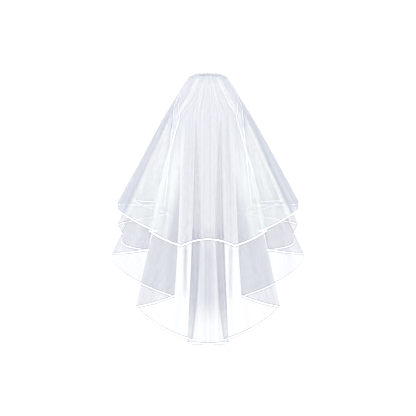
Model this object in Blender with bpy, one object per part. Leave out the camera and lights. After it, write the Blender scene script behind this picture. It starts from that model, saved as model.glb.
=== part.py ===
"""A two-tier bridal veil of sheer tulle on a hair comb, filled out as it hangs from the crown.

Frame: +Z is up, the back of the veil faces -Y, +X is to the right of someone who stands behind it.
The origin is at the top of the comb's spine. Each tier is a fan of folds that starts at the comb,
rounds over a head and hangs down. A level cut through a tier is an open oval round the wearer, on
which the cloth runs to and fro: every tip and valley of the hem is a fold with a row of its own.
"""

import math
from collections import namedtuple

import bmesh
import bpy
import numpy as np

MM = 0.001

# Cloth and ribbon, in millimetres
WALL = 1.0
SEAM_GAP = 0.3
RIBBON_WIDTH = 7.0
RIBBON_WALL = 1.4

# The ribbon's seam: the row of the grid where it starts below the comb, the space left between it and
# the tulle along the seam, and the most of the nearest cell that ribbon and seam may take, where the
# cells are narrower than the ribbon
RIBBON_FIRST_ROW = 6
RIBBON_SEAM = 0.5
RIBBON_SHARE = 0.7
SEAM_SHARE = 0.85

# Gathers at the comb, in millimetres: half their width, how far they arch with the crown and the drop
# at which the arch has gone, their height over the spine, how far round they reach, and the space
# between the short tier and the long one
GATHER_HALF_WIDTH = 31.0
GATHER_ARCH = 3.0
GATHER_ARCH_END = 20.0
RIM_HEIGHT = 4.0
RIM_ANGLE_END = math.radians(68.0)
TIER_RIM_GAP = 1.5

# The fall of the cloth: the drop at which it leaves the head and its folds begin, the drop at which
# their turns are fully round, and how far past its own hem a fold is reckoned
HEAD_DROP = 124.0
TURN_ROUND_DROP = 184.0
HANG_LIMIT = 1.05

# Ways of reckoning: the part of a layer's inset that narrows its oval, the share of the fall over
# the head in which the pleats spread out, how soon they fade round the side, and the step, in
# millimetres, over which the slope is read
INSET_ACROSS = 0.9
PLEAT_SPREAD = 1.6
BACK_FADE = 4.0
SLOPE_STEP = 2.0

# Fine pleats down the middle of the back: how many each side, where they fade as shares of their zone,
# and the half width of the zone at the comb and over the head
PLEATS_PER_SIDE = 3
PLEAT_FADE = 0.25
PLEAT_FADE_END = 1.1
PLEAT_ZONE_TOP = 31.0
PLEAT_ZONE_LOW = 72.0

# Comb, in millimetres
COMB_HALF_WIDTH = 27.0
COMB_THICKNESS = 2.4
COMB_SPINE = 7.0
COMB_LENGTH = 32.0
COMB_TEETH = 13
COMB_TOOTH_ROOT = 2.6
COMB_TOOTH_TIP = 1.4
COMB_TILT = math.radians(62.0)

# Binding, a folded strip over the spine of the comb, in millimetres
BINDING_WALL = 1.0
BINDING_LENGTH = 6.5
BINDING_OVERHANG = 1.0
BINDING_CHAMFER = 0.6
BINDING_STEPS = 10

# Level cuts through the oval: drop below the comb, half width, back, side and front of the oval
# along Y, space from one layer of cloth to the next, and height of the fine pleats
Cut = namedtuple("Cut", "drop half_width back side front spacing pleat")
CUTS = (
    Cut(0, 31, -1, 0, 1, 0.0, 0.0),
    Cut(5, 39, -17, 2, 10, 0.4, 0.3),
    Cut(12, 49, -30, 4, 19, 1.2, 0.8),
    Cut(24, 60, -46, 7, 32, 1.5, 1.2),
    Cut(51, 78, -64, 12, 50, 1.8, 1.9),
    Cut(80, 96, -74, 16, 64, 2.0, 2.4),
    Cut(124, 124, -85, 20, 80, 2.4, 2.8),
    Cut(250, 192, -108, 22, 112, 4.6, 3.4),
    Cut(383, 264, -133, 18, 140, 7.0, 4.0),
    Cut(435, 288, -142, 16, 146, 7.5, 4.0),
    Cut(518, 328, -154, 10, 150, 8.0, 4.2),
    Cut(680, 352, -176, 0, 150, 8.0, 4.0),
    Cut(790, 362, -190, -10, 150, 8.0, 4.0),
)

# Folds of a tier from the middle of the back to its free side edge. Columns: distance from the
# middle at head height and at the hem, how far it bows outward half way, drop of the hem, layer
# before and after the fold, whether it lies on the front half of the oval, columns of the panel
# that leads to it, and that panel's sag
Fold = namedtuple("Fold", "head hem bow drop layer_in layer_out front columns sag")
UPPER_FOLDS = (
    Fold(0, 0, 0, 486, 0.0, 0.0, False, 0, 0),
    Fold(66, 76, 0, 505, 0.0, 0.0, False, 12, -4.7),
    Fold(97, 166, 0, 463, 0.0, 0.75, False, 4, 3),
    Fold(97, 149, 0, 461, 1.25, 2.0, False, 2, 0),
    Fold(124, 264, 0, 383, 0.0, 0.0, False, 6, 5),
    Fold(98, 125, 0, 388, 0.0, 0.0, True, 6, 3),
)
LOWER_FOLDS = (
    Fold(0, 0, 0, 782, 1.5, 1.5, False, 0, 0),
    Fold(37, 57, -5, 779, 1.5, 2.25, False, 8, 0),
    Fold(37, 50, -19, 770, 2.75, 3.5, False, 4, 0),
    Fold(80, 200, 0, 676, 3.5, 4.25, False, 10, 12),
    Fold(80, 96, -6, 646, 4.75, 5.5, False, 3, 4),
    Fold(104, 278, 0, 518, 5.5, 6.25, False, 8, 12),
    Fold(101, 166, 0, 509, 6.75, 7.5, False, 3, 3),
    Fold(130, 300, 0, 449, 7.0, 7.0, False, 5, 2),
    Fold(130, 300, 0, 434, 3.5, 3.5, False, 2, 1),
    Fold(102, 108, 0, 407, 4.5, 3.75, True, 9, 4),
    Fold(102, 215, 0, 365, 3.25, 2.5, True, 6, 2),
    Fold(78, 150, 0, 373, 2.5, 2.5, True, 3, 2),
)

# Rows of the grid: drops of those over the head, rows below them, and steps round the turn of a fold
DOME_DROPS = (0, 1.5, 4, 10, 20, 36, 60, 90, 124, 136)
UPPER_HANG_ROWS = 3
LOWER_HANG_ROWS = 6
TURN_STEPS = 2

Columns = namedtuple("Columns", "fold_a fold_b mix turn layer rim_angle drop")


def smooth_table(column, drop):
    """A column of CUTS at any drop, by a cubic through its rows that never overshoots them."""
    x = np.array([cut.drop for cut in CUTS], float)
    y = np.array([getattr(cut, column) for cut in CUTS], float)
    slope = np.diff(y) / np.diff(x)
    product = slope[:-1] * slope[1:]
    total = slope[:-1] + slope[1:]
    inner = np.where(product > 0, 2 * product / np.where(total == 0, 1, total), 0)
    tangent = np.concatenate(([slope[0]], inner, [slope[-1]]))
    drop = np.clip(drop, x[0], x[-1])
    i = np.clip(np.searchsorted(x, drop, side="right") - 1, 0, len(x) - 2)
    step = x[i + 1] - x[i]
    t = (drop - x[i]) / step
    return (y[i] * (1 + 2 * t) * (1 - t) ** 2 + y[i + 1] * t * t * (3 - 2 * t)
            + tangent[i] * step * t * (1 - t) ** 2 + tangent[i + 1] * step * t * t * (t - 1))


def half_columns(folds):
    """Columns of cloth from the middle of the back to the side edge, with a round turn per fold."""
    rows = [(0, 0, 0.0, 0.0, folds[0].layer_out, folds[0].drop)]
    for k in range(1, len(folds)):
        fold = folds[k]
        before = folds[k - 1]
        for step in range(1, fold.columns + 1):
            f = step / fold.columns
            layer = before.layer_out + (fold.layer_in - before.layer_out) * f
            drop = before.drop + (fold.drop - before.drop) * f + fold.sag * 4 * f * (1 - f)
            rows.append((k - 1, k, f, 0.0, layer, drop))
        if fold.layer_out == fold.layer_in:
            continue
        outward = 1.0 if fold.hem > before.hem else -1.0
        if fold.front:
            outward = -outward
        for step in range(1, TURN_STEPS + 1):
            angle = math.pi * step / TURN_STEPS
            layer = fold.layer_in + (fold.layer_out - fold.layer_in) * (1 - math.cos(angle)) / 2
            swing = outward * math.sin(angle) * abs(fold.layer_out - fold.layer_in) / 2
            rows.append((k, k, 0.0, swing, layer, fold.drop))
    table = np.array(rows, float)
    rim_angle = np.arcsin(np.linspace(0, math.sin(RIM_ANGLE_END), len(rows)))
    return Columns(table[:, 0].astype(int), table[:, 1].astype(int), table[:, 2], table[:, 3],
                   table[:, 4], rim_angle, table[:, 5])


def fold_angle(folds, index, drop, lift):
    """Angle round the oval of one fold per column at the given drops; 0 is the middle of the back."""
    layer = np.array([min(fold.layer_in, fold.layer_out) for fold in folds], float)[index]
    inset = layer * smooth_table("spacing", drop) + lift
    oval_width = smooth_table("half_width", drop) - INSET_ACROSS * inset
    head = np.array([fold.head for fold in folds], float)[index]
    hem = np.array([fold.hem for fold in folds], float)[index]
    end = np.array([fold.drop for fold in folds], float)[index]
    front = np.array([fold.front for fold in folds])[index]
    hang = np.clip((drop - HEAD_DROP) / (end - HEAD_DROP), 0, HANG_LIMIT)
    bow = np.array([fold.bow for fold in folds], float)[index] * 4 * hang * (HANG_LIMIT - hang)
    across = head + (hem - head) * hang + bow
    angle = np.arcsin(np.clip(across / oval_width, 0, 1))
    return np.where(front, math.pi - angle, angle)


def surface(folds, columns, drop, lift):
    """Points of a tier's middle surface for one half, as an array (rows, columns, 3)."""
    half_width = smooth_table("half_width", drop)
    side = smooth_table("side", drop)
    back = side - smooth_table("back", drop)
    front = smooth_table("front", drop) - side
    spacing = smooth_table("spacing", drop)
    inset = columns.layer * spacing + lift

    oval_width = half_width - INSET_ACROSS * inset
    low_drop = np.maximum(drop, HEAD_DROP)
    angle_a = fold_angle(folds, columns.fold_a, low_drop, lift)
    angle_b = fold_angle(folds, columns.fold_b, low_drop, lift)
    angle = angle_a + (angle_b - angle_a) * columns.mix
    roundness = np.clip((drop - HEAD_DROP) / (TURN_ROUND_DROP - HEAD_DROP), 0, 1)
    angle = angle + columns.turn * roundness * spacing / half_width

    head_width = smooth_table("half_width", HEAD_DROP)
    opening = np.clip((half_width - GATHER_HALF_WIDTH) / (head_width - GATHER_HALF_WIDTH), 0, 1)
    angle = columns.rim_angle + (angle - columns.rim_angle) * opening

    sine = np.sin(angle)
    cosine = np.cos(angle)
    depth = np.where(cosine > 0, back, front)
    normal_x = sine * depth
    normal_y = -cosine * half_width
    length = np.hypot(normal_x, normal_y)
    normal_x = normal_x / length
    normal_y = normal_y / length

    lower = drop + SLOPE_STEP
    spread = (smooth_table("half_width", lower) - half_width) / SLOPE_STEP
    reach = (smooth_table("side", lower) - smooth_table("back", lower) - back) / SLOPE_STEP
    slope = spread * sine ** 2 + reach * cosine ** 2
    level = 1 / np.sqrt(1 + slope ** 2)
    upright = slope * level

    zone = PLEAT_ZONE_TOP + (PLEAT_ZONE_LOW - PLEAT_ZONE_TOP) * np.clip(opening * PLEAT_SPREAD, 0, 1)
    across = np.abs(oval_width * sine) / zone
    fade = np.clip((PLEAT_FADE_END - across) / PLEAT_FADE, 0, 1)
    fade = fade * np.clip(cosine * BACK_FADE, 0, 1)
    wave = np.cos(2 * math.pi * PLEATS_PER_SIDE * across)
    pleat = smooth_table("pleat", drop) * fade * wave

    move = pleat - inset
    arch = GATHER_ARCH * (half_width * sine / GATHER_HALF_WIDTH) ** 2
    arch = arch * np.clip(1 - drop / GATHER_ARCH_END, 0, 1) ** 2
    x = half_width * sine + move * level * normal_x
    y = side - depth * cosine + move * level * normal_y
    z = RIM_HEIGHT - drop + move * upright - arch
    return np.stack((x, y, z), axis=-1)


def mirrored(points):
    """The whole width from one half: the half seen in a mirror, then the half itself."""
    other = points[:, :0:-1] * np.array((-1, 1, 1))
    return np.concatenate((other, points), axis=1)


def tier_drops(columns, hang_rows):
    """Drops of every row: fixed ones over the head, then evenly down to the hem of each column."""
    dome = np.array(DOME_DROPS, float)[:, None] * np.ones(len(columns.drop))
    parts = np.arange(1, hang_rows + 1)[:, None] / hang_rows
    hang = DOME_DROPS[-1] + (columns.drop - DOME_DROPS[-1]) * parts
    return np.concatenate((dome, hang), axis=0)


def unit(vectors):
    return vectors / np.linalg.norm(vectors, axis=-1, keepdims=True)


def outward_normals(points):
    """Unit normals of a grid of points, facing away from the wearer at the middle of the back."""
    across = np.gradient(points, axis=1)
    down = np.gradient(points, axis=0)
    return unit(np.cross(down, across))


def wall_mesh(outer, inner, kept):
    """Vertices and faces of a closed wall between two grids, over the cells of the grid that are kept."""
    rows, count = kept.shape
    width = count + 1
    offset = (rows + 1) * width
    padded = np.pad(kept, 1)
    faces = []
    for r, c in np.argwhere(kept):
        a = r * width + c
        b = a + 1
        d = a + width
        e = d + 1
        faces += [(a, d, b), (b, d, e)]
        faces += [(a + offset, b + offset, d + offset), (b + offset, e + offset, d + offset)]
        sides = ((b, a, padded[r, c + 1]), (a, d, padded[r + 1, c]),
                 (d, e, padded[r + 2, c + 1]), (e, b, padded[r + 1, c + 2]))
        for start, end, beside in sides:
            if not beside:
                faces += [(end, start, start + offset), (end, start + offset, end + offset)]
    points = np.concatenate((outer.reshape(-1, 3), inner.reshape(-1, 3)))
    used = np.unique(np.array(faces))
    place = np.zeros(len(points), int)
    place[used] = np.arange(len(used))
    return points[used], [tuple(int(place[v]) for v in face) for face in faces]


def material(name, color, roughness, metallic=0.0, alpha=1.0):
    made = bpy.data.materials.new(name)
    made.use_nodes = True
    shader = made.node_tree.nodes["Principled BSDF"]
    shader.inputs["Base Color"].default_value = (*color, 1.0)
    shader.inputs["Roughness"].default_value = roughness
    shader.inputs["Metallic"].default_value = metallic
    shader.inputs["Alpha"].default_value = alpha
    return made


def add_object(name, vertices, faces, finish):
    """A mesh object from points in millimetres, its faces all turned outward."""
    mesh = bpy.data.meshes.new(name)
    mesh.from_pydata([tuple(point * MM) for point in np.asarray(vertices, float)], [], faces)
    mesh.materials.append(finish)
    shape = bmesh.new()
    shape.from_mesh(mesh)
    bmesh.ops.recalc_face_normals(shape, faces=shape.faces)
    shape.to_mesh(mesh)
    shape.free()
    placed = bpy.data.objects.new(name, mesh)
    bpy.context.scene.collection.objects.link(placed)
    return placed


def between(edge, inside, beyond):
    """Points a ribbon's width from an edge, and a given length beyond it, toward the points inside."""
    reach = np.linalg.norm(inside - edge, axis=-1, keepdims=True)
    width = np.minimum(RIBBON_WIDTH, RIBBON_SHARE * reach) + beyond
    return edge + (inside - edge) * np.minimum(width / reach, SEAM_SHARE)


def tier_sheet(folds, hang_rows, lift, beyond):
    """Middle surface of a whole tier as a grid of rows down the veil.

    A row beside the hem and a column beside each side edge carry the seam line: the inner edge of
    the ribbon, and a given length beyond it.
    """
    columns = half_columns(folds)
    drops = tier_drops(columns, hang_rows)
    half = surface(folds, columns, drops, lift)
    row = between(half[-1], half[-2], beyond)
    half = np.concatenate((half[:-1], row[None], half[-1:]), axis=0)
    column = between(half[:, -1], half[:, -2], beyond)
    half = np.concatenate((half[:, :-1], column[:, None], half[:, -1:]), axis=1)
    return mirrored(half)


def edging_cells(middle):
    """Which cells of the grid are ribbon: the hem's row and both side columns below the crown."""
    cells = np.zeros((middle.shape[0] - 1, middle.shape[1] - 1), bool)
    cells[-1] = True
    cells[RIBBON_FIRST_ROW:, (0, -1)] = True
    return cells


def make_cloth(name, middle, wall, cells, finish):
    """A closed wall of even thickness round the chosen cells of a middle surface."""
    normals = outward_normals(middle)
    vertices, faces = wall_mesh(middle + normals * wall / 2, middle - normals * wall / 2, cells)
    return add_object(name, vertices, faces, finish)


def make_tier(prefix, folds, hang_rows, lift, tulle, satin):
    """One tier: a sheet of tulle and its satin edging, seamed edge to edge with a small gap.

    The ribbon goes down one side edge, along the whole hem with its folds, and up the other side.
    """
    sheet = tier_sheet(folds, hang_rows, lift, RIBBON_SEAM)
    make_cloth(prefix + "_tier", sheet, WALL, ~edging_cells(sheet), tulle)
    edging = tier_sheet(folds, hang_rows, lift, 0.0)
    sides = (0, 1, -2, -1)
    down = unit(edging[RIBBON_FIRST_ROW + 1, sides] - edging[RIBBON_FIRST_ROW, sides])
    edging[RIBBON_FIRST_ROW, sides] += down * RIBBON_SEAM
    make_cloth(prefix + "_ribbon", edging, RIBBON_WALL, edging_cells(edging), satin)


def comb_point(across, along, out):
    """A point of the comb: across it, along its teeth and out from the head, arched with the crown."""
    arch = GATHER_ARCH * (across / GATHER_HALF_WIDTH) ** 2
    y = -along * math.cos(COMB_TILT) - out * math.sin(COMB_TILT)
    z = -along * math.sin(COMB_TILT) + out * math.cos(COMB_TILT) - arch
    return (across, y, z)


def make_comb(finish):
    """The plain comb: an arched spine and a row of tapered teeth, as a wall over a grid of cells."""
    pitch = 2 * (COMB_HALF_WIDTH - COMB_TOOTH_ROOT / 2) / (COMB_TEETH - 1)
    centres = [-COMB_HALF_WIDTH + COMB_TOOTH_ROOT / 2 + pitch * i for i in range(COMB_TEETH)]
    roots = [centre + side * COMB_TOOTH_ROOT / 2 for centre in centres for side in (-1, 1)]
    tips = [centre + side * COMB_TOOTH_TIP / 2 for centre in centres for side in (-1, 1)]
    rows = ((roots, 0.0), (roots, COMB_SPINE), (tips, COMB_LENGTH))
    grids = []
    for out in (COMB_THICKNESS / 2, -COMB_THICKNESS / 2):
        grids.append(np.array([[comb_point(x, along, out) for x in row] for row, along in rows]))
    kept = np.ones((2, len(roots) - 1), bool)
    kept[1, 1::2] = False
    vertices, faces = wall_mesh(grids[0], grids[1], kept)
    return add_object("comb", vertices, faces, finish)


def make_binding(finish):
    """A satin strip folded over the spine of the comb, the seat of both gathered edges."""
    gap = COMB_THICKNESS / 2 + SEAM_GAP
    out = gap + BINDING_WALL
    top = -SEAM_GAP - BINDING_WALL
    edge = out * BINDING_CHAMFER
    outer = [(BINDING_LENGTH, out), (0.0, out), (top, edge),
             (top, -edge), (0.0, -out), (BINDING_LENGTH, -out)]
    inner = [(BINDING_LENGTH, gap), (0.0, gap), (-SEAM_GAP, gap),
             (-SEAM_GAP, -gap), (0.0, -gap), (BINDING_LENGTH, -gap)]
    half = COMB_HALF_WIDTH + BINDING_OVERHANG
    stations = np.linspace(-half, half, BINDING_STEPS + 1)
    grids = []
    for section in (outer, inner):
        grids.append(np.array([[comb_point(x, along, out) for x in stations] for along, out in section]))
    kept = np.ones((len(outer) - 1, BINDING_STEPS), bool)
    vertices, faces = wall_mesh(grids[0], grids[1], kept)
    return add_object("gather_binding", vertices, faces, finish)


def build():
    for old in list(bpy.data.objects):
        bpy.data.objects.remove(old)
    tulle = material("sheer_tulle", (0.93, 0.94, 0.97), 0.7, alpha=0.35)
    satin = material("white_satin", (0.95, 0.95, 0.94), 0.32)
    clear = material("clear_plastic", (0.90, 0.92, 0.93), 0.12, alpha=0.4)
    make_tier("upper", UPPER_FOLDS, UPPER_HANG_ROWS, -TIER_RIM_GAP, tulle, satin)
    make_tier("lower", LOWER_FOLDS, LOWER_HANG_ROWS, 0.0, tulle, satin)
    make_binding(satin)
    make_comb(clear)


build()
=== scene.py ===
import math
from collections import namedtuple

import bmesh
import bpy
import numpy as np
from mathutils import Matrix, Vector


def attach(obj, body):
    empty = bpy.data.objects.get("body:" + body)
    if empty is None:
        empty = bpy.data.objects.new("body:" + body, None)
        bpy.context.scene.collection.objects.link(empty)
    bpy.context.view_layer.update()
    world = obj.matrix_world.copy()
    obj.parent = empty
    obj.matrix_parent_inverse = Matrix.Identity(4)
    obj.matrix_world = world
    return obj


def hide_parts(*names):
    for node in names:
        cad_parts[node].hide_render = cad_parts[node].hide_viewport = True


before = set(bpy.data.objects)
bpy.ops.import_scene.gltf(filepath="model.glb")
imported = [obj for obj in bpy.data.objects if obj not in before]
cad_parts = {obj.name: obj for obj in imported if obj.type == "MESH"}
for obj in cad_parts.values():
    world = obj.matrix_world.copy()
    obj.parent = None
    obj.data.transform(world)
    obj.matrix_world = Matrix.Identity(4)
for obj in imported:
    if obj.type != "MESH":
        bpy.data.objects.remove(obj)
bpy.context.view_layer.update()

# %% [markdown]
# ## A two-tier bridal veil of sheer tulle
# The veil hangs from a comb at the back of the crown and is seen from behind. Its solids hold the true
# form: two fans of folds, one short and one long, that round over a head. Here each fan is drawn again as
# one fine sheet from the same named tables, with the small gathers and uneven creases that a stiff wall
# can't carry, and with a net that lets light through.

MM = 0.001


def srgb(code, alpha=1.0):
    """Linear colour of a hex code: each channel is undone from its screen curve."""
    channels = [int(code[i:i + 2], 16) / 255 for i in (0, 2, 4)]
    return (*[c / 12.92 if c <= 0.04045 else ((c + 0.055) / 1.055) ** 2.4 for c in channels], alpha)


def add_grid(name, points, uv, layers):
    """A sheet through a grid of points (rows, columns, 3) in millimetres, outer face away from the wearer.

    uv is the place on the flat cloth in millimetres; layers holds a number for every point by name.
    """
    rows, count = points.shape[:2]
    index = np.arange(rows * count).reshape(rows, count)
    corners = (index[:-1, :-1], index[1:, :-1], index[1:, 1:], index[:-1, 1:])
    quads = np.stack(corners, axis=-1).reshape(-1, 4)
    mesh = bpy.data.meshes.new(name)
    mesh.vertices.add(rows * count)
    mesh.vertices.foreach_set("co", (points * MM).astype(np.float32).ravel())
    mesh.loops.add(quads.size)
    mesh.loops.foreach_set("vertex_index", quads.astype(np.int32).ravel())
    mesh.polygons.add(len(quads))
    mesh.polygons.foreach_set("loop_start", np.arange(0, quads.size, 4, dtype=np.int32))
    mesh.polygons.foreach_set("use_smooth", np.ones(len(quads), dtype=bool))
    flat = mesh.uv_layers.new(name="flat_cloth")
    flat.data.foreach_set("uv", uv.reshape(-1, 2)[quads.ravel()].astype(np.float32).ravel())
    for label, values in layers.items():
        layer = mesh.attributes.new(label, "FLOAT", "POINT")
        layer.data.foreach_set("value", values.astype(np.float32).ravel())
    mesh.update(calc_edges=True)
    mesh.validate()
    made = bpy.data.objects.new(name, mesh)
    bpy.context.scene.collection.objects.link(made)
    return made


# %% [markdown]
# ## The form of a tier
# A level cut through a tier is an open oval round the wearer. The cloth runs to and fro on that oval, and
# every tip and valley of the hem is one fold. It could be draped by simulation, but then the folds would
# not land where the photograph has them, so each fold has its own row in a table: how far it lies from the
# middle at head height and at the hem, how low its hem hangs, and which layer it lies in.

# %% Tables of the form, the same as the solids'
# A Cut is the oval at one drop below the comb: half its width, where its back, its widest place and its
# front lie along Y, how far apart its layers of cloth are, and how high the pleats behind the crown stand
Cut = namedtuple("Cut", "drop half_width back side front spacing pleat")
CUTS = (
    Cut(0, 31, -1, 0, 1, 0.0, 0.0),
    Cut(5, 39, -17, 2, 10, 0.4, 0.3),
    Cut(12, 49, -30, 4, 19, 1.2, 0.8),
    Cut(24, 60, -46, 7, 32, 1.5, 1.2),
    Cut(51, 78, -64, 12, 50, 1.8, 1.9),
    Cut(80, 96, -74, 16, 64, 2.0, 2.4),
    Cut(124, 124, -85, 20, 80, 2.4, 2.8),
    Cut(250, 192, -108, 22, 112, 4.6, 3.4),
    Cut(383, 264, -133, 18, 140, 7.0, 4.0),
    Cut(435, 288, -142, 16, 146, 7.5, 4.0),
    Cut(518, 328, -154, 10, 150, 8.0, 4.2),
    Cut(680, 352, -176, 0, 150, 8.0, 4.0),
    Cut(790, 362, -190, -10, 150, 8.0, 4.0),
)
# A Fold is one tip or valley of the hem, from the middle outwards: how far it lies from the middle at head
# height and at the hem, how far its line bows between them, the drop of its hem, its layer before and after
# the turn, whether it lies on the front of the oval, how many columns of cells lead to it, and how far the
# hem sags on the way
Fold = namedtuple("Fold", "head hem bow drop layer_in layer_out front columns sag")
UPPER_FOLDS = (
    Fold(0, 0, 0, 486, 0.0, 0.0, False, 0, 0),
    Fold(66, 76, 0, 505, 0.0, 0.0, False, 12, -4.7),
    Fold(97, 166, 0, 463, 0.0, 0.75, False, 4, 3),
    Fold(97, 149, 0, 461, 1.25, 2.0, False, 2, 0),
    Fold(124, 264, 0, 383, 0.0, 0.0, False, 6, 5),
    Fold(98, 125, 0, 388, 0.0, 0.0, True, 6, 3),
)
LOWER_FOLDS = (
    Fold(0, 0, 0, 782, 1.5, 1.5, False, 0, 0),
    Fold(37, 57, -5, 779, 1.5, 2.25, False, 8, 0),
    Fold(37, 50, -19, 770, 2.75, 3.5, False, 4, 0),
    Fold(80, 200, 0, 676, 3.5, 4.25, False, 10, 12),
    Fold(80, 96, -6, 646, 4.75, 5.5, False, 3, 4),
    Fold(104, 278, 0, 518, 5.5, 6.25, False, 8, 12),
    Fold(101, 166, 0, 509, 6.75, 7.5, False, 3, 3),
    Fold(130, 300, 0, 449, 7.0, 7.0, False, 5, 2),
    Fold(130, 300, 0, 434, 3.5, 3.5, False, 2, 1),
    Fold(102, 108, 0, 407, 4.5, 3.75, True, 9, 4),
    Fold(102, 215, 0, 365, 3.25, 2.5, True, 6, 2),
    Fold(78, 150, 0, 373, 2.5, 2.5, True, 3, 2),
)
# A Crease is listed one by one: its place across the cloth as a share of the half (negative is the left
# half), its width as such a share, then in millimetres the height of its ridge (negative is a trough) and
# the drops at which it starts and ends
Crease = namedtuple("Crease", "share width height first last")
UPPER_CREASES = (
    Crease(-0.93, 0.030, 2.6, 60, 420), Crease(-0.80, 0.022, -2.0, 140, 460),
    Crease(-0.62, 0.030, 2.4, 90, 330), Crease(-0.52, 0.014, 1.4, 30, 260),
    Crease(-0.44, 0.016, -1.6, 60, 470), Crease(-0.30, 0.012, 1.3, 20, 240),
    Crease(-0.11, 0.010, -1.3, 20, 300), Crease(0.07, 0.010, 1.2, 20, 380),
    Crease(0.26, 0.012, -1.2, 30, 220), Crease(0.36, 0.014, 1.5, 40, 430),
    Crease(0.47, 0.016, -1.5, 30, 280), Crease(0.58, 0.028, 2.2, 120, 470),
    Crease(0.71, 0.026, -2.2, 70, 300), Crease(0.84, 0.030, 2.6, 150, 440),
    Crease(0.95, 0.022, -1.8, 80, 380),
)
LOWER_CREASES = (
    Crease(-0.96, 0.018, 1.6, 120, 380), Crease(-0.86, 0.020, -1.8, 150, 420),
    Crease(-0.70, 0.018, 1.8, 200, 480), Crease(-0.56, 0.018, 1.6, 260, 560),
    Crease(-0.47, 0.014, -1.6, 240, 520), Crease(-0.33, 0.016, 2.0, 330, 700),
    Crease(-0.24, 0.012, -1.8, 420, 760), Crease(-0.06, 0.008, 1.4, 200, 790),
    Crease(0.04, 0.008, -1.4, 300, 790), Crease(0.10, 0.008, 1.3, 480, 790),
    Crease(0.27, 0.014, 1.9, 380, 740), Crease(0.36, 0.014, -1.7, 300, 660),
    Crease(0.50, 0.016, 1.7, 280, 540), Crease(0.60, 0.018, -1.6, 230, 520),
    Crease(0.74, 0.018, 1.8, 180, 460), Crease(0.83, 0.018, -1.5, 210, 440),
    Crease(0.93, 0.018, 1.6, 120, 390),
)
# The gathers at the comb, in millimetres
GATHER_HALF_WIDTH = 31.0
GATHER_ARCH = 3.0
GATHER_ARCH_END = 20.0
RIM_HEIGHT = 4.0
RIM_ANGLE_END = math.radians(68.0)
TIER_RIM_GAP = 1.5
# Drops: head height, and where the folds have their full roundness
HEAD_DROP = 124.0
TURN_ROUND_DROP = 184.0
# How far past its hem a fold's line is followed, and how much of an inset counts across the oval
HANG_LIMIT = 1.05
INSET_ACROSS = 0.9
# The pleats behind the crown: how many a side, how they fade, and how wide a zone they take
PLEATS_PER_SIDE = 3
PLEAT_FADE = 0.25
PLEAT_FADE_END = 1.1
PLEAT_ZONE_TOP = 31.0
PLEAT_ZONE_LOW = 72.0
PLEAT_SPREAD = 1.6
BACK_FADE = 4.0
SLOPE_STEP = 2.0
RIBBON_WIDTH = 7.0
print("folds a side:", len(UPPER_FOLDS) - 1, "short tier,", len(LOWER_FOLDS) - 1, "long tier")


# %% From the tables to a surface
def smooth_table(column, drop):
    """A column of CUTS at any drop: a cubic through its rows whose slopes never overshoot them."""
    x = np.array([cut.drop for cut in CUTS], float)
    y = np.array([getattr(cut, column) for cut in CUTS], float)
    slope = np.diff(y) / np.diff(x)
    total = slope[:-1] + slope[1:]
    product = slope[:-1] * slope[1:]
    inner = np.where(product > 0, 2 * product / np.where(total == 0, 1, total), 0)
    tangent = np.concatenate(([slope[0]], inner, [slope[-1]]))
    drop = np.clip(drop, x[0], x[-1])
    i = np.clip(np.searchsorted(x, drop, side="right") - 1, 0, len(x) - 2)
    step = x[i + 1] - x[i]
    t = (drop - x[i]) / step
    return (y[i] * (1 + 2 * t) * (1 - t) ** 2 + y[i + 1] * t * t * (3 - 2 * t)
            + tangent[i] * step * t * (1 - t) ** 2 + tangent[i + 1] * step * t * t * (t - 1))


Columns = namedtuple("Columns", "fold_a fold_b mix turn layer rim_angle drop")


def half_columns(folds, fineness, turn_steps):
    """Columns of cloth from the middle to the side edge; a fold is half a circle between two layers."""
    rows = [(0, 0, 0.0, 0.0, folds[0].layer_out, folds[0].drop)]
    for k in range(1, len(folds)):
        fold = folds[k]
        before = folds[k - 1]
        steps = fold.columns * fineness
        for step in range(1, steps + 1):
            f = step / steps
            layer = before.layer_out + (fold.layer_in - before.layer_out) * f
            drop = before.drop + (fold.drop - before.drop) * f + fold.sag * 4 * f * (1 - f)
            rows.append((k - 1, k, f, 0.0, layer, drop))
        if fold.layer_out == fold.layer_in:
            continue
        outward = 1.0 if (fold.hem > before.hem) != fold.front else -1.0
        for step in range(1, turn_steps + 1):
            angle = math.pi * step / turn_steps
            layer = fold.layer_in + (fold.layer_out - fold.layer_in) * (1 - math.cos(angle)) / 2
            swing = outward * math.sin(angle) * abs(fold.layer_out - fold.layer_in) / 2
            rows.append((k, k, 0.0, swing, layer, fold.drop))
    table = np.array(rows, float)
    rim_angle = np.arcsin(np.linspace(0, math.sin(RIM_ANGLE_END), len(rows)))
    return Columns(table[:, 0].astype(int), table[:, 1].astype(int), table[:, 2], table[:, 3],
                   table[:, 4], rim_angle, table[:, 5])


def fold_angle(folds, index, drop, lift):
    """Angle of a fold round the oval, 0 at the middle of the back: arcsine of distance over width."""
    layer = np.array([min(fold.layer_in, fold.layer_out) for fold in folds], float)[index]
    inset = layer * smooth_table("spacing", drop) - lift
    oval_width = smooth_table("half_width", drop) - INSET_ACROSS * inset
    head = np.array([fold.head for fold in folds], float)[index]
    hem = np.array([fold.hem for fold in folds], float)[index]
    end = np.array([fold.drop for fold in folds], float)[index]
    front = np.array([fold.front for fold in folds])[index]
    hang = np.clip((drop - HEAD_DROP) / (end - HEAD_DROP), 0, HANG_LIMIT)
    bow = np.array([fold.bow for fold in folds], float)[index] * 4 * hang * (HANG_LIMIT - hang)
    angle = np.arcsin(np.clip((head + (hem - head) * hang + bow) / oval_width, 0, 1))
    return np.where(front, math.pi - angle, angle)


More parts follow.
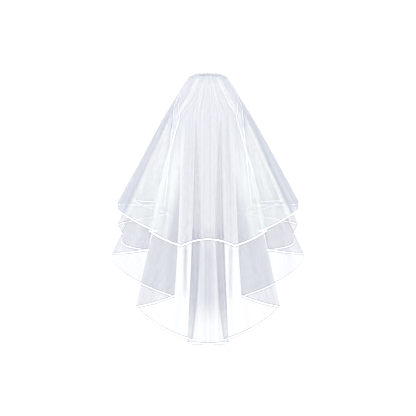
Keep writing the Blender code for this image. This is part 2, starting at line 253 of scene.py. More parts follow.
def surface(folds, columns, drop, lift, extra):
    """Points of one half: a place on the oval of its drop, moved in by its layer and out by its pleat.

    x = half width * sine, y = side - depth * cosine, both moved along the oval's own normal.
    """
    half_width = smooth_table("half_width", drop)
    side = smooth_table("side", drop)
    back = side - smooth_table("back", drop)
    front = smooth_table("front", drop) - side
    spacing = smooth_table("spacing", drop)
    inset = columns.layer * spacing - lift - extra
    oval_width = half_width - INSET_ACROSS * inset
    low_drop = np.maximum(drop, HEAD_DROP)
    angle_a = fold_angle(folds, columns.fold_a, low_drop, lift)
    angle_b = fold_angle(folds, columns.fold_b, low_drop, lift)
    angle = angle_a + (angle_b - angle_a) * columns.mix
    roundness = np.clip((drop - HEAD_DROP) / (TURN_ROUND_DROP - HEAD_DROP), 0, 1)
    angle = angle + columns.turn * roundness * spacing / half_width
    head_width = smooth_table("half_width", HEAD_DROP)
    opening = np.clip((half_width - GATHER_HALF_WIDTH) / (head_width - GATHER_HALF_WIDTH), 0, 1)
    angle = columns.rim_angle + (angle - columns.rim_angle) * opening
    sine = np.sin(angle)
    cosine = np.cos(angle)
    depth = np.where(cosine > 0, back, front)
    length = np.hypot(sine * depth, cosine * half_width)
    normal_x = sine * depth / length
    normal_y = -cosine * half_width / length
    lower = drop + SLOPE_STEP
    spread = (smooth_table("half_width", lower) - half_width) / SLOPE_STEP
    reach = (smooth_table("side", lower) - smooth_table("back", lower) - back) / SLOPE_STEP
    slope = spread * sine ** 2 + reach * cosine ** 2
    level = 1 / np.sqrt(1 + slope ** 2)
    zone = PLEAT_ZONE_TOP + (PLEAT_ZONE_LOW - PLEAT_ZONE_TOP) * np.clip(opening * PLEAT_SPREAD, 0, 1)
    across = np.abs(oval_width * sine) / zone
    fade = np.clip((PLEAT_FADE_END - across) / PLEAT_FADE, 0, 1) * np.clip(cosine * BACK_FADE, 0, 1)
    pleat = smooth_table("pleat", drop) * fade * np.cos(2 * math.pi * PLEATS_PER_SIDE * across)
    move = pleat - inset
    arch = GATHER_ARCH * (half_width * sine / GATHER_HALF_WIDTH) ** 2
    arch = arch * np.clip(1 - drop / GATHER_ARCH_END, 0, 1) ** 2
    x = half_width * sine + move * level * normal_x
    y = side - depth * cosine + move * level * normal_y
    z = RIM_HEIGHT - drop + move * slope * level - arch
    return np.stack((x, y, z), axis=-1)


def ramp(value, low, high):
    """A smooth step from 0 to 1 between two values: t * t * (3 - 2t)."""
    t = np.clip((value - low) / (high - low), 0, 1)
    return t * t * (3 - 2 * t)


def bell(value, centre, width):
    """A soft bump of height 1: exp(-((value - centre) / width) squared)."""
    return np.exp(-((value - centre) / width) ** 2)


# Small gathers, in millimetres: their height, how far down they fade and where they start in full; two slow
# sines, each a size and a number of turns, make them uneven
GATHER_HEIGHT = 0.75
GATHER_FADE = 70.0
GATHER_START = 6.0
GATHER_START_SHARE = 0.35
GATHER_DRIFTS = ((0.9, 9.1), (0.6, 23.7))
CREASE_FULLNESS = 0.8
# Rows of the sheet lie closer together near the comb, where the form turns most: this share of an even row
ROW_START = 0.35


def soft_lift(creases, side, share, drop, gathers, seed):
    """How far the cloth stands out of the smooth form: listed creases, and gathers that fade downward.

    A crease is a bell across the cloth and a longer bell down it; a gather is a cosine round the rim.
    """
    total = np.zeros(drop.shape)
    for crease in creases:
        if crease.share * side < 0:
            continue
        across = bell(share, abs(crease.share), crease.width)
        along = np.clip((drop - crease.first) / (crease.last - crease.first), 0, 1)
        total = total + crease.height * across * np.sin(math.pi * along) ** CREASE_FULLNESS
    phase = 0.0
    for number, (size, turns) in enumerate(GATHER_DRIFTS, 1):
        phase = phase + size * np.sin(turns * share * side + number * seed)
    wave = np.cos(2 * math.pi * gathers * share + phase)
    near = bell(drop, 0, GATHER_FADE) * np.clip(drop / GATHER_START, GATHER_START_SHARE, 1)
    return total + GATHER_HEIGHT * wave * near


def tier_points(folds, creases, rows, fineness, turn_steps, lift, gathers, seed, shade):
    """Both halves of a tier as a grid of points, with its cover and light at each point."""
    columns = half_columns(folds, fineness, turn_steps)
    share = np.linspace(0, 1, len(columns.drop))[None, :]
    even = np.linspace(0, 1, rows)[:, None]
    down = even * (ROW_START + (1 - ROW_START) * even)
    drop = columns.drop[None, :] * down
    halves = []
    for side in (-1, 1):
        extra = soft_lift(creases, side, share, drop, gathers, seed)
        half = surface(folds, columns, drop, lift, extra)
        cover, light = shade(columns, drop, half[..., 0])
        cover = cover * (1 + streaks(share, drop, side, seed))
        half[..., 0] *= side
        halves.append(np.concatenate((half, cover[..., None], light[..., None]), axis=-1))
    whole = np.concatenate((halves[0][:, :0:-1], halves[1]), axis=1)
    return whole[..., :3], whole[..., 3], whole[..., 4]


# Streaks: turns across the half and weight of each sine, their strength, the share that is left at the hem
# and the drop, in millimetres, over which they fade
STREAK_WAVES = ((17, 0.5), (31, 0.3), (57, 0.2))
STREAK_STRENGTH = 0.55
STREAK_LEFT = 0.35
STREAK_FADE = 300


def streaks(share, drop, side, seed):
    """Fine lines that run down from the gathers, where the net lies closer: three sines across it."""
    total = np.zeros(share.shape)
    for turns, weight in STREAK_WAVES:
        total = total + weight * np.sin(2 * math.pi * turns * share + side * (seed + turns))
    return STREAK_STRENGTH * total * (STREAK_LEFT + (1 - STREAK_LEFT) * np.exp(-drop / STREAK_FADE))


# Shares of the way from head height to hem between which a panel's cover changes
PANEL_CHANGE = (0.15, 0.85)


def by_panel(columns, drop, table):
    """A value for every point from one for each panel at head height and one at its hem."""
    head = np.array([row[0] for row in table], float)
    hem = np.array([row[1] for row in table], float)
    panel = np.clip(columns.fold_b - 1, 0, len(table) - 1)
    hang = np.clip((drop - HEAD_DROP) / (columns.drop - HEAD_DROP), 0, 1)
    return head[panel] + (hem[panel] - head[panel]) * ramp(hang, *PANEL_CHANGE)


def flat_place(points):
    """Place on the flat cloth in millimetres: across, measured along the hem; down, from the comb."""
    across = np.linalg.norm(np.diff(points[-1], axis=0), axis=-1)
    u = np.concatenate(([0.0], np.cumsum(across)))
    v = np.cumsum(np.linalg.norm(np.diff(points, axis=0), axis=-1), axis=0)
    v = np.concatenate((np.zeros((1, points.shape[1])), v), axis=0)
    return np.stack((np.broadcast_to(u - u[-1] / 2, v.shape), v), axis=-1)


def sheet_area(points):
    """Area of a grid in square metres, from the cross product of each cell's diagonals."""
    first = points[1:, 1:] - points[:-1, :-1]
    second = points[1:, :-1] - points[:-1, 1:]
    return float(np.linalg.norm(np.cross(first, second), axis=-1).sum() / 2 * MM * MM)


# %% [markdown]
# ## The two sheets of tulle
# The long tier lies underneath and the short one over it. Each is a single fine sheet without thickness,
# as real net is thinner than a tenth of a millimetre. Net that is bunched covers more and net that is
# stretched less, and it is painted paler where it lies flat to the light, so each point carries two numbers:
# how much it covers, and how much painted light it has. Both are given panel by panel.

# %% How much each panel covers
# Cover of one flat layer of net, the share of it that is left at the comb, where all layers meet, and the
# lengths down the cloth, in millimetres, between which it comes up to its full value
NET_COVER = 0.30
RIM_SHARE = 0.5
RIM_FADE = (5, 24)
# Cover of each panel from the middle outwards, times one flat layer: at head height and at its hem
UPPER_COVER = ((1.25, 1.15), (1.35, 0.8), (0.6, 0.5), (1.9, 2.4), (1.4, 1.0))
LOWER_COVER = ((0.6, 0.7), (0.15, 0.9), (0.7, 0.8), (0.5, 1.0), (0.15, 0.95), (0.15, 0.9),
               (0.15, 0.7), (0.6, 1.3), (0.12, 0.2), (0.12, 0.12), (0.12, 0.12))
# The fan of painted light on the short tier, in millimetres: its two sides as lines down the cloth, how
# softly each begins, and the drops between which the fan and its painted light come up; then how light it is
# at its top, and by what share the back and the folded panels cover more or less in it
Line = namedtuple("Line", "across slope drop")
FAN_INNER = Line(44, 0.19, 109)
FAN_OUTER = Line(102, 0.446, 104)
FAN_INNER_SOFT = 14
FAN_OUTER_SOFT = 3
FAN_START = (80, 180)
FAN_LIGHT_START = (160, 360)
FAN_LIGHT_TOP = 0.4
FAN_ON_BACK = 0.5
FAN_ON_FOLDS = -0.55
# The middle of the long tier, in millimetres and as cover: the bunch below the short tier, a crease each
# side of it and a line down its middle; each has the drops between which it starts and ends
BUNCH_START = (430, 530)
BUNCH_END = (640, 740)
BUNCH_END_SHARE = 0.5
BUNCH_COVER = 1.15
CREASE_START = (480, 520)
SIDE_CREASE_ACROSS = 64
SIDE_CREASE_WIDTH = 5
SIDE_CREASE_END = (610, 670)
MIDDLE_LINE_WIDTH = 4
MIDDLE_LINE_END = (650, 700)
MIDDLE_LINE_COVER = 0.8
# LOW_LIGHT: painted light on the middle of the long tier, below the bunch
LOW_LIGHT = 0.45
print("cover of one layer:", NET_COVER, "panels:", len(UPPER_COVER), "and", len(LOWER_COVER))


# %% Build both sheets
def line_at(line, drop):
    """How far from the middle a line lies: its place at one drop, and its slope below that."""
    return line.across + line.slope * (drop - line.drop)


def upper_shade(columns, drop, across):
    """The short tier is painted light in a fan between the middle pleats and a line inside the side fold."""
    inner = line_at(FAN_INNER, drop)
    outer = line_at(FAN_OUTER, drop)
    fan = ramp(across, inner - FAN_INNER_SOFT, inner + FAN_INNER_SOFT)
    fan = fan * (1 - ramp(across, outer - FAN_OUTER_SOFT, outer + FAN_OUTER_SOFT))
    fan = fan * ramp(drop, *FAN_START)
    change = np.where(columns.fold_b > 2, FAN_ON_FOLDS, FAN_ON_BACK)
    cover = by_panel(columns, drop, UPPER_COVER) * (1 + change * fan)
    return cover, fan * (FAN_LIGHT_TOP + (1 - FAN_LIGHT_TOP) * ramp(drop, *FAN_LIGHT_START))


def lower_shade(columns, drop, across):
    """The long tier's middle: bunched below the short tier, creased each side, and painted lighter lower
    down.
    """
    middle = columns.fold_b <= 1
    creased = ramp(drop, *CREASE_START)
    bunch = ramp(drop, *BUNCH_START) * (1 - BUNCH_END_SHARE * ramp(drop, *BUNCH_END))
    crease = bell(across, SIDE_CREASE_ACROSS, SIDE_CREASE_WIDTH) * (columns.fold_b == 3)
    crease = crease * creased * (1 - ramp(drop, *SIDE_CREASE_END))
    line = bell(across, 0, MIDDLE_LINE_WIDTH) * middle * creased * (1 - ramp(drop, *MIDDLE_LINE_END))
    cover = by_panel(columns, drop, LOWER_COVER) + BUNCH_COVER * bunch * middle
    return cover + crease + MIDDLE_LINE_COVER * line, LOW_LIGHT * ramp(drop, *BUNCH_END) * middle


def make_tier(name, points, cover, light):
    """One tier's sheet, thinner at the comb, where every layer of it meets."""
    uv = flat_place(points)
    cover = NET_COVER * cover * (RIM_SHARE + (1 - RIM_SHARE) * ramp(uv[..., 1], *RIM_FADE))
    made = add_grid(name, points, uv, {"cover": cover, "light": light})
    print(name, points.shape[:2], "area m2", round(sheet_area(points), 3),
          "hem m", round(float(uv[-1, -1, 0] - uv[-1, 0, 0]) * MM, 3),
          "longest mm", round(float(uv[..., 1].max())), "side edge mm", round(float(uv[-1, 0, 1])))
    return made


upper_points, *upper_layers = tier_points(
    UPPER_FOLDS, UPPER_CREASES, rows=130, fineness=6, turn_steps=8, lift=TIER_RIM_GAP, gathers=17,
    seed=0.4, shade=upper_shade)
lower_points, *lower_layers = tier_points(
    LOWER_FOLDS, LOWER_CREASES, rows=140, fineness=4, turn_steps=6, lift=0.0, gathers=17,
    seed=1.7, shade=lower_shade)
upper_tulle = make_tier("upper_tulle", upper_points, *upper_layers)
lower_tulle = make_tier("lower_tulle", lower_points, *lower_layers)


# %% [markdown]
# ## Satin ribbon on the free edges
# The ribbon is 7 mm wide and goes down one side edge, round the hem through every fold, and up the other
# side. It could be a wide line in the net's material, but a real strip catches the light on its own, so
# it is a thin closed strip folded over both faces of the edge, crowned in its middle.

# %% Build the ribbons
# In millimetres: half the thickness at the edge, the crown's height, and how much thicker each next strip
# is, so that at a corner one lies over the other. Then the points across a strip, how many rows or columns
# of the sheet are searched for its width, and the sheet's row where it starts below the comb
RIBBON_EDGE = 0.15
RIBBON_CROWN = 0.4
RIBBON_STEP_OUT = 0.1
RIBBON_STRIPS = 5
EDGE_REACH = 70
RIBBON_FIRST_ROW = 10


def outward_normals(points):
    """Unit normals of a grid: the cross product of its two directions, away from the wearer."""
    normal = np.cross(np.gradient(points, axis=0), np.gradient(points, axis=1))
    return normal / np.linalg.norm(normal, axis=-1, keepdims=True)


def inward(field, depth):
    """Points and normals a given length in from the first row, by going along each column of a grid."""
    step = np.linalg.norm(np.diff(field[..., :3], axis=0), axis=-1)
    length = np.concatenate((np.zeros((1, step.shape[1])), np.cumsum(step, axis=0)), axis=0)
    row = np.maximum(np.argmax(length >= depth, axis=0), 1)
    index = np.arange(field.shape[1])
    low = length[row - 1, index]
    f = ((depth - low) / (length[row, index] - low))[:, None]
    return field[row - 1, index] * (1 - f) + field[row, index] * f


def add_rings(name, rings, uvs):
    """A closed tube from rings of points (n, m, 3) in millimetres, for several tubes in one object."""
    vertices, faces, places = [], [], []
    start = 0
    for ring, uv in zip(rings, uvs):
        n, m = ring.shape[:2]
        index = start + np.arange(n * m).reshape(n, m)
        after = np.roll(index, -1, axis=1)
        walls = np.stack((index[:-1], after[:-1], after[1:], index[1:]), axis=-1).reshape(-1, 4)
        faces += walls.tolist() + [index[0, ::-1].tolist(), index[-1].tolist()]
        vertices.append(ring.reshape(-1, 3))
        places.append(uv.reshape(-1, 2))
        start += n * m
    points = np.concatenate(vertices) * MM
    place = np.concatenate(places)
    mesh = bpy.data.meshes.new(name)
    mesh.from_pydata(points.tolist(), [], faces)
    mesh.polygons.foreach_set("use_smooth", np.array([len(face) == 4 for face in faces]))
    flat = mesh.uv_layers.new(name="flat_cloth")
    corners = np.zeros(len(mesh.loops), np.int32)
    mesh.loops.foreach_get("vertex_index", corners)
    flat.data.foreach_set("uv", place[corners].astype(np.float32).ravel())
    shape = bmesh.new()
    shape.from_mesh(mesh)
    bmesh.ops.recalc_face_normals(shape, faces=shape.faces)
    shape.to_mesh(mesh)
    shape.free()
    made = bpy.data.objects.new(name, mesh)
    bpy.context.scene.collection.objects.link(made)
    return made


def make_ribbon(name, points):
    """The ribbon of one tier: along the hem, then up both side edges, crowned by a half sine."""
    field = np.concatenate((points, outward_normals(points)), axis=-1)
    below_comb = field[RIBBON_FIRST_ROW:]
    bands = (field[::-1][:EDGE_REACH],
             below_comb[:, :EDGE_REACH].transpose(1, 0, 2),
             below_comb[:, ::-1][:, :EDGE_REACH].transpose(1, 0, 2))
    rings, uvs = [], []
    for number, band in enumerate(bands):
        depths = np.linspace(0, RIBBON_WIDTH, RIBBON_STRIPS)
        strip = np.stack([inward(band, depth) for depth in depths], axis=1)
        height = RIBBON_EDGE + RIBBON_CROWN * np.sin(math.pi * depths / RIBBON_WIDTH)
        height = height + RIBBON_STEP_OUT * number
        middle, normal = strip[..., :3], strip[..., 3:]
        rings.append(np.concatenate((middle + normal * height[:, None],
                                     (middle - normal * height[:, None])[:, ::-1]), axis=1))
        steps = np.linalg.norm(np.diff(middle[:, 0], axis=0), axis=-1)
        along = np.concatenate(([0.0], np.cumsum(steps)))
        across = np.concatenate((depths, depths[::-1]))
        uvs.append(np.stack(np.broadcast_arrays(along[:, None], across[None, :]), axis=-1))
        print(name, ("hem", "left side", "right side")[number], "mm", round(float(along[-1])))
    return add_rings(name, rings, uvs)


upper_edging = make_ribbon("upper_edging", upper_points)
lower_edging = make_ribbon("lower_edging", lower_points)

# %% [markdown]
# ## Where the veil is held
# Both gathered edges are caught in a satin strip folded over the spine of a plain comb, whipped on with
# thread between the teeth. The photograph hides all of this behind the gathers. The comb's own solid has
# the right shape and stays; the strip is drawn again with a round fold and small gathers.

# %% The comb's sizes and places on it
# In millimetres, the same as the solids'
COMB_HALF_WIDTH = 27.0
COMB_THICKNESS = 2.4
COMB_TEETH = 13
COMB_TOOTH_ROOT = 2.6
COMB_TILT = math.radians(62.0)
SEAM_GAP = 0.3
BINDING_LENGTH = 6.3
BINDING_WALL = 0.7


def comb_point(across, along, out):
    """A place on the comb: across it, along its teeth and out from the head, arched with the crown."""
    arch = GATHER_ARCH * (across / GATHER_HALF_WIDTH) ** 2
    y = -along * math.cos(COMB_TILT) - out * math.sin(COMB_TILT)
    z = -along * math.sin(COMB_TILT) + out * math.cos(COMB_TILT) - arch
    return np.stack(np.broadcast_arrays(across, y, z), axis=-1)


print("comb mm:", 2 * COMB_HALF_WIDTH, "wide,", COMB_TEETH, "teeth")

# %% Build the strip and its thread
# In millimetres: how far the strip reaches past the comb, its ripples, and the width of cloth from one point
# of its section to the next; HOOK_HEIGHT is the fold's height as a share of its radius
BINDING_OVERHANG = 1.0
BINDING_STATIONS = 150
BINDING_TURN_STEPS = 9
HOOK_HEIGHT = 0.45
RIPPLE_HEIGHT = 0.16
RIPPLE_PITCH = 2.1
RIPPLE_DRIFT = 0.8
RIPPLE_DRIFT_LENGTH = 3.7
STRIP_THREAD_STEP = 0.28


def hook(radius, straight, steps):
    """Half the section of the folded strip: straight legs joined by half an ellipse over the spine."""
    turn = np.linspace(math.pi / 2, -math.pi / 2, steps)
    over = -radius * HOOK_HEIGHT * np.cos(turn)
    along = np.concatenate(([straight, straight / 2], over, [straight / 2, straight]))
    out = np.concatenate(([radius, radius], radius * np.sin(turn), [-radius, -radius]))
    return along, out


def make_binding():
    """A strip of satin folded over the spine, rippled by a cosine along the comb."""
    gap = COMB_THICKNESS / 2 + SEAM_GAP
    half = COMB_HALF_WIDTH + BINDING_OVERHANG
    stations = np.linspace(-half, half, BINDING_STATIONS)[:, None]
    inner_along, inner_out = hook(gap, BINDING_LENGTH, BINDING_TURN_STEPS)
    outer_along, outer_out = hook(gap + BINDING_WALL, BINDING_LENGTH, BINDING_TURN_STEPS)
    drift = RIPPLE_DRIFT * np.sin(stations / RIPPLE_DRIFT_LENGTH)
    ripple = RIPPLE_HEIGHT * np.cos(2 * math.pi * stations / RIPPLE_PITCH + drift)
    outer = comb_point(stations, outer_along[None, :], outer_out[None, :] * (1 + ripple / gap))
    inner = comb_point(stations, inner_along[None, ::-1], inner_out[None, ::-1] + 0 * stations)
    ring = np.concatenate((outer, inner), axis=1)
    number = np.arange(len(outer_along))
    across = RIBBON_WIDTH / 2 + STRIP_THREAD_STEP * (number - (len(outer_along) - 1) / 2)
    across = np.concatenate((across, across[::-1]))
    uv = np.stack(np.broadcast_arrays(stations, across[None, :]), axis=-1)
    return add_rings("binding_satin", [ring], [uv])


# The loops of thread, in millimetres: the thread's radius, the middle of a loop below the comb's top, how
# far it reaches up and down and stands off the strip, how far it leans, and the loop's own mean radius
THREAD_RADIUS = 0.22
LOOP_MIDDLE = 3.3
LOOP_REACH = 5.1
LOOP_CLEARANCE = 0.35
LOOP_LEAN = 0.5
LOOP_RADIUS = 3.0
LOOP_STEPS = 29
THREAD_SIDES = 6


def make_whipping():
    """Loops of thread round strip and spine, one in each space between two teeth, as round tubes."""
    pitch = 2 * (COMB_HALF_WIDTH - COMB_TOOTH_ROOT / 2) / (COMB_TEETH - 1)
    turn = np.linspace(0, 2 * math.pi, LOOP_STEPS)
    section = np.linspace(0, 2 * math.pi, THREAD_SIDES + 1)[:-1]
    grow = (1 + THREAD_RADIUS * np.cos(section) / LOOP_RADIUS)[None, :]
    rings, uvs = [], []
    for number in range(COMB_TEETH - 1):
        centre = -COMB_HALF_WIDTH + COMB_TOOTH_ROOT / 2 + pitch * (number + 0.5)
        out = (COMB_THICKNESS / 2 + SEAM_GAP + BINDING_WALL + LOOP_CLEARANCE) * np.cos(turn)
        across = centre + LOOP_LEAN * np.sin(turn + number)
        x = across[:, None] + THREAD_RADIUS * np.sin(section)[None, :]
        along = LOOP_MIDDLE + LOOP_REACH * np.sin(turn)[:, None] * grow
        rings.append(comb_point(x, along, out[:, None] * grow))
        uvs.append(np.zeros((len(turn), len(section), 2)))
    return add_rings("whipping_thread", rings, uvs)


binding_satin = make_binding()
whipping_thread = make_whipping()
print("binding and whipping faces:", len(binding_satin.data.polygons), len(whipping_thread.data.polygons))

# %% [markdown]
# ## Materials
# Net is white thread with far more hole than thread, so it is mostly see-through: one layer hardly shows
# on white and each further layer turns it cooler and greyer. The six-sided mesh comes from three cosines
# across the flat cloth at 60 degrees to each other; where their sum is low there is thread. It could be
# modelled thread by thread, but hundreds of thousands of threads would be slower and look the same.
# Satin is far denser, with a soft sheen along its threads, and thin enough to let some light through.

# %% Helpers for materials
# Some inputs go by number: 1 to 4 of a Map Range are the range it reads and the range it gives; 0, 6 and 7
# of a colour Mix are the share and the two colours, and its result is output 2


def add_node(tree, kind, values=(), **settings):
    """A shader node with its settings, and its inputs, by name or number, set to a value or linked."""
    node = tree.nodes.new(kind)
    for key, value in settings.items():
        setattr(node, key, value)
    for place, value in values:
        if isinstance(value, bpy.types.NodeSocket):
            tree.links.new(value, node.inputs[place])
        else:
            node.inputs[place].default_value = value
    return node


def new_material(name, color, roughness):
    """A material of one colour and roughness, with its nodes and its shader."""
    made = bpy.data.materials.new(name)
    made.use_nodes = True
    shader = made.node_tree.nodes["Principled BSDF"]
    shader.inputs["Base Color"].default_value = color
    shader.inputs["Roughness"].default_value = roughness
    return made, made.node_tree, shader


# %% Tulle
# Soft bridal tulle: knitted net of white polyester thread, matt. Real holes are about 1 mm; they are drawn
# 2.2 mm apart so that they still show. A hole covers less than the mean and a thread more, so the holes
# let the ground through. The colours are greyer than the thread's own white, because the photograph is so
# bright that only this much grey is left of several layers: the grey is painted shade. The paler colour is
# painted light, for net that faces the light.
NET_PITCH = 2.2
HOLE_SHARE = 0.62
THREAD_SHARE = 1.6
NET_SHADED_GREY = "9A9EA9"
NET_LIGHT = "C4C9C9"
tulle, tree, shader = new_material("bridal_tulle", srgb(NET_SHADED_GREY), 0.75)
place = add_node(tree, "ShaderNodeUVMap", uv_map="flat_cloth")
pitch = 2 * math.pi / (NET_PITCH * math.cos(math.pi / 6))
waves = []
for turn in (0, 60, 120):
    direction = (math.cos(math.radians(turn)), math.sin(math.radians(turn)), 0)
    dot = add_node(tree, "ShaderNodeVectorMath", ((0, place.outputs[0]), (1, direction)),
                   operation="DOT_PRODUCT")
    scaled = add_node(tree, "ShaderNodeMath", ((0, dot.outputs["Value"]), (1, pitch)), operation="MULTIPLY")
    wave = add_node(tree, "ShaderNodeMath", ((0, scaled.outputs[0]),), operation="COSINE")
    waves.append(wave.outputs[0])
pair = add_node(tree, "ShaderNodeMath", ((0, waves[0]), (1, waves[1])), operation="ADD")
total = add_node(tree, "ShaderNodeMath", ((0, pair.outputs[0]), (1, waves[2])), operation="ADD")
thread = add_node(tree, "ShaderNodeMapRange", ((0, total.outputs[0]), (1, -0.9), (2, 0.2),
                                               (3, THREAD_SHARE), (4, HOLE_SHARE)))
cover = add_node(tree, "ShaderNodeAttribute", attribute_name="cover")
alpha = add_node(tree, "ShaderNodeMath", ((0, cover.outputs["Fac"]), (1, thread.outputs[0])),
                 operation="MULTIPLY")
tree.links.new(alpha.outputs[0], shader.inputs["Alpha"])
light = add_node(tree, "ShaderNodeAttribute", attribute_name="light")
tint = add_node(tree, "ShaderNodeMix",
                ((0, light.outputs["Fac"]), (6, srgb(NET_SHADED_GREY)), (7, srgb(NET_LIGHT))), data_type="RGBA")
tree.links.new(tint.outputs[2], shader.inputs["Base Color"])
print("tulle: pitch mm", NET_PITCH, "cover of a hole and of a thread", HOLE_SHARE, THREAD_SHARE)

# %% Satin
# Single-faced satin ribbon: smooth white polyester. Its threads run along it; they are drawn 8 mm long and
# 0.17 mm apart, coarser than real, so that the light breaks softly across it. Its edges are darker: partly
# the stitching that sews it down, partly painted shade where the strip rolls over the edge. White satin
# holds a
# brightener that glows a little in daylight, and the photograph is so bright that the ribbon shows pure
# white:
# its emission is painted light that stands for both, and keeps the ribbon white even in the shade inside the
# veil. Half of the light that enters goes through, hardly bent, as in thin cloth, so the strips inside the
# veil are lit as well. Edges are in millimetres from the ribbon's middle.
SATIN_WHITE = "DEDEE0"
# The darker edge colour is partly stitching and partly painted shade of the rolled edge
SEWN_AND_SHADED_EDGE = "474C57"
EDGE_FROM = 1.5
EDGE_TO = 2.2
SATIN_THREADS = (0.12, 6.0, 1.0)
satin, tree, shader = new_material("satin_ribbon", srgb(SATIN_WHITE), 0.34)
place = add_node(tree, "ShaderNodeUVMap", uv_map="flat_cloth")
stretch = add_node(tree, "ShaderNodeMapping", ((0, place.outputs[0]), (3, SATIN_THREADS)))
threads = add_node(tree, "ShaderNodeTexNoise",
                   (("Vector", stretch.outputs[0]), ("Scale", 1.0), ("Detail", 2.0)))
bump = add_node(tree, "ShaderNodeBump",
                (("Strength", 0.25), ("Distance", 0.0004), ("Height", threads.outputs[0])))
tree.links.new(bump.outputs[0], shader.inputs["Normal"])
apart = add_node(tree, "ShaderNodeSeparateXYZ", ((0, place.outputs[0]),))
off = add_node(tree, "ShaderNodeMath", ((0, apart.outputs[1]), (1, RIBBON_WIDTH / 2)), operation="SUBTRACT")
away = add_node(tree, "ShaderNodeMath", ((0, off.outputs[0]),), operation="ABSOLUTE")
edge = add_node(tree, "ShaderNodeMapRange",
                ((0, away.outputs[0]), (1, EDGE_FROM), (2, EDGE_TO), (3, 0.0), (4, 1.0)))
tint = add_node(tree, "ShaderNodeMix",
                ((0, edge.outputs[0]), (6, srgb(SATIN_WHITE)), (7, srgb(SEWN_AND_SHADED_EDGE))), data_type="RGBA")
tree.links.new(tint.outputs[2], shader.inputs["Base Color"])
# Painted light: the ribbon glows in its own colour, so that it shows white even in the shade inside the veil
tree.links.new(tint.outputs[2], shader.inputs["Emission Color"])
shader.inputs["Emission Strength"].default_value = 1.2
shader.inputs["Transmission Weight"].default_value = 0.5
shader.inputs["IOR"].default_value = 1.1

# The same satin folded over the comb's spine. It hardly reaches the darker edges, because its place on the
# flat cloth is centred on the ribbon's middle. It lies in the shade of the gathers, so its painted light is
# set weaker, to show pale there rather than white.
satin_binding = satin.copy()
satin_binding.name = "satin_binding"
satin_binding.node_tree.nodes["Principled BSDF"].inputs["Emission Strength"].default_value = 0.2
print("satin: edge mm from the middle", EDGE_FROM, "to", EDGE_TO)

# %% Comb and thread
# Clear acrylic, moulded and polished: glossy and see-through. Clouds about 5 mm across change its roughness
# a little, so that its shine isn't even.
comb_plastic, tree, shader = new_material("comb_plastic", srgb("F0F3F5"), 0.14)
shader.inputs["Alpha"].default_value = 0.45
shader.inputs["IOR"].default_value = 1.49
place = add_node(tree, "ShaderNodeTexCoord")
cloud = add_node(tree, "ShaderNodeTexNoise",
                 (("Vector", place.outputs["Object"]), ("Scale", 180.0), ("Detail", 3.0)))
rough = add_node(tree, "ShaderNodeMapRange",
                 ((0, cloud.outputs[0]), (1, 0.3), (2, 0.7), (3, 0.10), (4, 0.22)))
tree.links.new(rough.outputs[0], shader.inputs["Roughness"])

# White sewing thread: spun polyester, matt, with its twist as fine slanting bands
thread_white, tree, shader = new_material("sewing_thread", srgb("F6F6F6"), 0.6)
place = add_node(tree, "ShaderNodeTexCoord")
twist = add_node(tree, "ShaderNodeTexWave", (("Vector", place.outputs["Object"]), ("Scale", 900.0)),
                 bands_direction="DIAGONAL")
bump = add_node(tree, "ShaderNodeBump",
                (("Strength", 0.5), ("Distance", 0.0001), ("Height", twist.outputs[1])))
tree.links.new(bump.outputs[0], shader.inputs["Normal"])

# %% Put the finishes on the pieces
finishes = ((upper_tulle, tulle), (lower_tulle, tulle), (upper_edging, satin), (lower_edging, satin),
            (binding_satin, satin_binding), (whipping_thread, thread_white))
for piece, finish in finishes:
    piece.data.materials.clear()
    piece.data.materials.append(finish)
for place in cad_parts["comb"].material_slots:
    place.material = comb_plastic
print("materials:", [finish.name for finish in (tulle, satin, satin_binding, comb_plastic, thread_white)])

# %% [markdown]
# ## Room, light and camera
# The photograph is a cut-out on white, seen straight from behind at the middle of the veil. A white world
# gives the even light; one large soft lamp above the left shoulder of the viewer brings out the folds.
# The world could be one strength, but then either the cloth is dull or the net drowns in white: it shines
# on the cloth at WORLD_LIGHT, and the camera sees it at WORLD_SEEN. The floor is a pale disc well below the
# hem, outside the picture.

# %% Floor
FLOOR_DROP = 1.25
FLOOR_RADIUS = 1.3
shape = bmesh.new()
bmesh.ops.create_circle(shape, cap_ends=True, segments=96, radius=FLOOR_RADIUS)
floor_mesh = bpy.data.meshes.new("studio_floor")
shape.to_mesh(floor_mesh)
shape.free()
floor_mesh.transform(Matrix.Translation((0, 0, -FLOOR_DROP)))
floor = bpy.data.objects.new("studio_floor", floor_mesh)
bpy.context.scene.collection.objects.link(floor)
# Matt paint, light grey, so that it doesn't burn out in views from above
floor_paint, tree, shader = new_material("pale_floor", srgb("CACACA"), 0.9)
floor.data.materials.append(floor_paint)
print("floor m below the comb:", FLOOR_DROP)

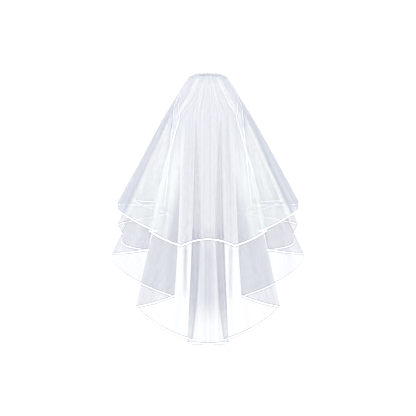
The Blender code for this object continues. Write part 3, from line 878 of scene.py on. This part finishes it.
# %% Light
WORLD_LIGHT = 1.8
WORLD_SEEN = 1.15
world = bpy.data.worlds.new("white_studio")
world.use_nodes = True
backdrop = world.node_tree.nodes["Background"]
backdrop.inputs["Color"].default_value = (1, 1, 1, 1)
seen = world.node_tree.nodes.new("ShaderNodeLightPath")
strength = world.node_tree.nodes.new("ShaderNodeMapRange")
strength.inputs[3].default_value = WORLD_LIGHT
strength.inputs[4].default_value = WORLD_SEEN
world.node_tree.links.new(seen.outputs["Is Camera Ray"], strength.inputs[0])
world.node_tree.links.new(strength.outputs[0], backdrop.inputs["Strength"])
scene = bpy.context.scene
scene.world = world


def add_lamp(name, place, aim, size, power):
    """A large square lamp at a place, turned to shine on a point."""
    data = bpy.data.lights.new(name, "AREA")
    data.size = size
    data.energy = power
    lamp = bpy.data.objects.new(name, data)
    lamp.location = place
    lamp.rotation_euler = (Vector(aim) - Vector(place)).to_track_quat("-Z", "Y").to_euler()
    scene.collection.objects.link(lamp)
    return lamp


key_lamp = add_lamp("key_lamp", place=(-1.6, -2.6, 1.0), aim=(0, 0, -0.4), size=1.4, power=14.0)
print("lamp:", key_lamp.name, key_lamp.data.energy, "W; world:", WORLD_LIGHT, "seen as", WORLD_SEEN)

# %% Camera
# One pixel of the photograph in metres, its size and the row of the top of the gathers, in pixels, and how
# far off the camera stands, in metres
PIXEL = 2.9 * MM
IMAGE_SIZE = 416
TOP_ROW = 72.3
DISTANCE = 8.0
camera_data = bpy.data.cameras.new("camera")
camera = bpy.data.objects.new("camera", camera_data)
scene.collection.objects.link(camera)
height = RIM_HEIGHT * MM + (TOP_ROW - IMAGE_SIZE / 2) * PIXEL
camera.location = (0, -DISTANCE, height)
camera.rotation_euler = (math.pi / 2, 0, 0)
camera_data.sensor_width = 36.0
camera_data.lens = camera_data.sensor_width * DISTANCE / (IMAGE_SIZE * PIXEL)
camera_data.clip_end = 40
scene.camera = camera
scene.view_settings.view_transform = "Standard"
scene.cycles.transparent_max_bounces = 48
print("camera height", round(height, 3), "lens mm", round(camera_data.lens, 1))

# %% [markdown]
# ## What stands for what
# Every sheet says the size it was cut to. Each piece rides on the one body, and the sheets and strips hide
# the solids that they stand for.

stand_ins = (
    (upper_tulle, "upper_tier", "sheer_tulle"),
    (lower_tulle, "lower_tier", "sheer_tulle"),
    (upper_edging, "upper_ribbon", "white_satin"),
    (lower_edging, "lower_ribbon", "white_satin"),
    (binding_satin, "gather_binding", "white_satin"),
)
for piece, node, slot in stand_ins:
    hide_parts(node)
    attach(piece, "root")
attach(whipping_thread, "root")
